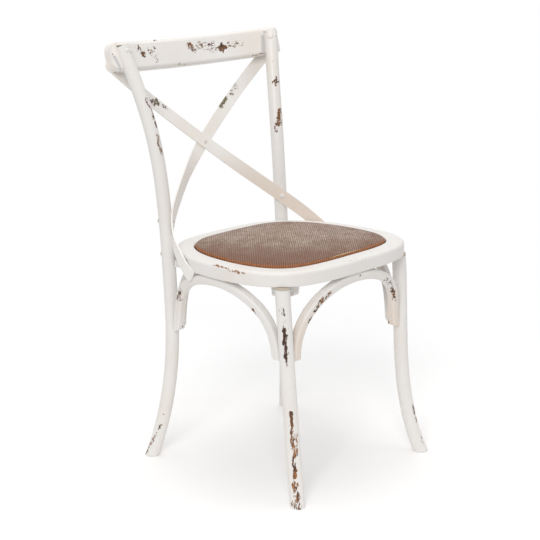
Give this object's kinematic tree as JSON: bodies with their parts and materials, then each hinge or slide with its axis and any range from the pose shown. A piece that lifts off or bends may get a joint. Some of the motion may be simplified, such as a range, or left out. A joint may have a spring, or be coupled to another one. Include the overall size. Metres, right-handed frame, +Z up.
{
  "type": "cross back dining chair",
  "caption": "Bentwood dining chair with crossed flat metal straps as its back, arched braces under the seat and a domed woven drop-in pad.",
  "frame": {"origin": "on the floor, beneath the middle of the chair's whole outline", "axes": "+Z up, -Y the way the sitter faces, +X the side that is on the right when one looks at the chair's front"},
  "size_m": [0.5048, 0.5347, 0.8764],
  "materials": {
    "painted_wood": "off-white paint, rubbed through at the edges",
    "painted_steel": "off-white paint with small chips",
    "painted_fasteners": "painted over with the frame",
    "screws": "dull steel",
    "bare_wood": "bare brown wood",
    "foam": "open foam",
    "rattan": "woven brown rattan"
  },
  "bodies": {
    "root": {"seat_ring": "painted_wood", "top_rail": "painted_wood", "rear_post_right": "painted_wood", "rear_post_left": "painted_wood", "front_leg_right": "painted_wood", "front_leg_left": "painted_wood", "front_arch": "painted_wood", "rear_arch": "painted_wood", "side_arch_right": "painted_wood", "side_arch_left": "painted_wood", "cross_strap_front": "painted_steel", "cross_strap_back": "painted_steel", "seat_board": "bare_wood", "seat_foam": "foam", "rattan_cover": "rattan", "corner_block_front_right": "bare_wood", "corner_block_front_left": "bare_wood", "corner_block_rear_right": "bare_wood", "corner_block_rear_left": "bare_wood", "centre_rivet": "painted_fasteners", "strap_post_rivets": "painted_fasteners", "rail_bolts": "painted_fasteners", "seat_post_bolts": "painted_fasteners", "strap_end_screws": "painted_fasteners", "arch_leg_screws": "screws", "arch_seat_screws": "screws", "corner_block_screws": "screws", "seat_board_screws": "screws"}
  },
  "joints": []
}
